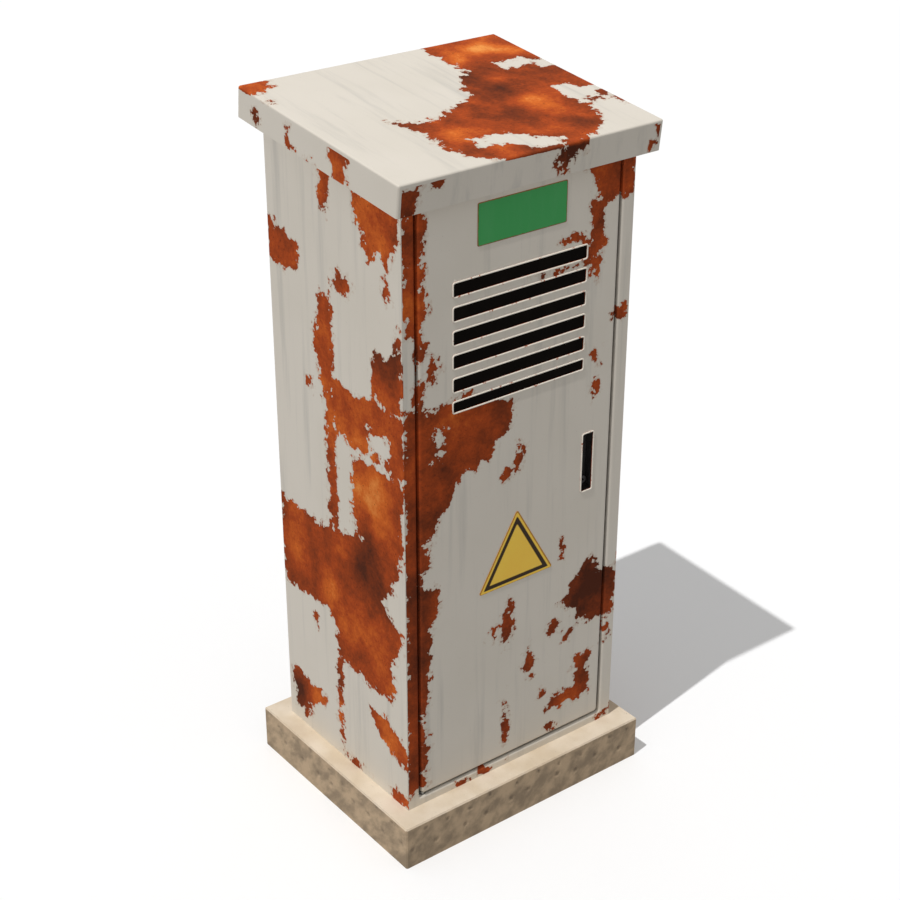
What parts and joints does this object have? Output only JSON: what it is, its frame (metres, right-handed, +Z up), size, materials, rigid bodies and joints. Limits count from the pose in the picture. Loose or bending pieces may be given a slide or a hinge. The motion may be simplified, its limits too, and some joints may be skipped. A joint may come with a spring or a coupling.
{
  "type": "roadside utility cabinet",
  "caption": "Rusted off-white steel street cabinet on a concrete plinth, with a sloped roof cap, a louvred hinged door with a rod lock, and switchgear on a backboard inside.",
  "frame": {"origin": "centre of the plinth's underside", "axes": "+Z up, the door faces -Y, +X to the right seen from the front"},
  "size_m": [0.666, 0.564, 1.5985],
  "materials": {
    "concrete": "cast, pitted, stained",
    "paint": "weathered off-white paint with broad rust patches",
    "zinc": "dull zinc plate",
    "black_plastic": "moulded",
    "grey_plastic": "moulded",
    "rubber": "soft foam rubber",
    "filter": "dusty filter mat",
    "brass": "machined",
    "copper": "bare copper",
    "insulator": "moulded resin",
    "green_plate": "faded enamel",
    "yellow_plate": "faded enamel with a dark border"
  },
  "bodies": {
    "cabinet": {"concrete_plinth": "concrete", "left_stile": "paint", "right_stile": "paint", "head_rail": "paint", "sill_rail": "paint", "left_panel": "paint", "right_panel": "paint", "back_panel": "paint", "top_plate": "paint", "roof_cap": "paint", "anchor_studs": "zinc", "anchor_washers": "zinc", "anchor_nuts": "zinc", "floor_pan": "zinc", "gland_plate": "zinc", "gland_screws": "zinc", "roof_spacers": "zinc", "roof_nuts": "zinc", "pivot_blocks": "zinc", "backboard": "zinc", "board_standoffs": "zinc", "board_screws": "zinc", "upper_rail": "zinc", "lower_rail": "zinc", "rail_screws": "zinc", "bar_screws": "zinc", "cable_glands": "black_plastic", "gland_locknuts": "black_plastic", "main_switch_body": "grey_plastic", "terminal_blocks": "grey_plastic", "end_stops": "grey_plastic", "breaker_bodies": "grey_plastic", "neutral_bar": "brass", "busbar_comb": "copper", "earth_bar": "copper", "bar_insulators": "insulator"},
    "door": {"door_panel": "paint", "door_stiffeners": "paint", "door_gasket": "rubber", "vent_filter": "filter", "filter_frame": "zinc", "pivot_pins": "zinc", "pivot_brackets": "zinc", "handle_dish": "black_plastic", "lock_case": "zinc", "lock_cover": "zinc", "lock_screws": "zinc", "rod_guides": "black_plastic", "blank_plate": "green_plate", "triangle_plate": "yellow_plate"},
    "lock": {"lock_spindle": "zinc", "lock_pinion": "brass"},
    "upper_rod": {"upper_rod": "zinc"},
    "lower_rod": {"lower_rod": "zinc"},
    "main_switch_knob": {"main_switch_knob": "black_plastic"},
    "breaker_toggle_1": {"breaker_toggle_1": "black_plastic"},
    "breaker_toggle_2": {"breaker_toggle_2": "black_plastic"},
    "breaker_toggle_3": {"breaker_toggle_3": "black_plastic"},
    "breaker_toggle_4": {"breaker_toggle_4": "black_plastic"}
  },
  "joints": [
    {"name": "door_hinge", "type": "hinge", "parent": "cabinet", "child": "door", "pos_m": [-0.245, -0.219, 0.8], "axis": [0, 0, -1], "range_deg": [0, 100]},
    {"name": "lock_turn", "type": "hinge", "parent": "door", "child": "lock", "pos_m": [0.1905, -0.24, 0.7575], "axis": [0, 1, 0], "range_deg": [0, 90]},
    {"name": "upper_rod_slide", "type": "slide", "parent": "door", "child": "upper_rod", "axis": [0, 0, 1], "range_m": [0, 0.01649]},
    {"name": "lower_rod_slide", "type": "slide", "parent": "door", "child": "lower_rod", "axis": [0, 0, -1], "range_m": [0, 0.01649]},
    {"name": "main_switch_turn", "type": "hinge", "parent": "cabinet", "child": "main_switch_knob", "pos_m": [-0.036, 0.129, 1.08], "axis": [0, 1, 0], "range_deg": [0, 90]},
    {"name": "breaker_1_tip", "type": "hinge", "parent": "cabinet", "child": "breaker_toggle_1", "pos_m": [0, 0.133, 1.08], "axis": [1, 0, 0], "range_deg": [0, 76]},
    {"name": "breaker_2_tip", "type": "hinge", "parent": "cabinet", "child": "breaker_toggle_2", "pos_m": [0.018, 0.133, 1.08], "axis": [1, 0, 0], "range_deg": [0, 76]},
    {"name": "breaker_3_tip", "type": "hinge", "parent": "cabinet", "child": "breaker_toggle_3", "pos_m": [0.036, 0.133, 1.08], "axis": [1, 0, 0], "range_deg": [0, 76]},
    {"name": "breaker_4_tip", "type": "hinge", "parent": "cabinet", "child": "breaker_toggle_4", "pos_m": [0.054, 0.133, 1.08], "axis": [1, 0, 0], "range_deg": [0, 76]}
  ],
  "couplings": [
    {"joint": "lock_turn", "follows": "upper_rod_slide", "rad_per_m": 95.238},
    {"joint": "lower_rod_slide", "follows": "upper_rod_slide", "ratio": 1}
  ]
}
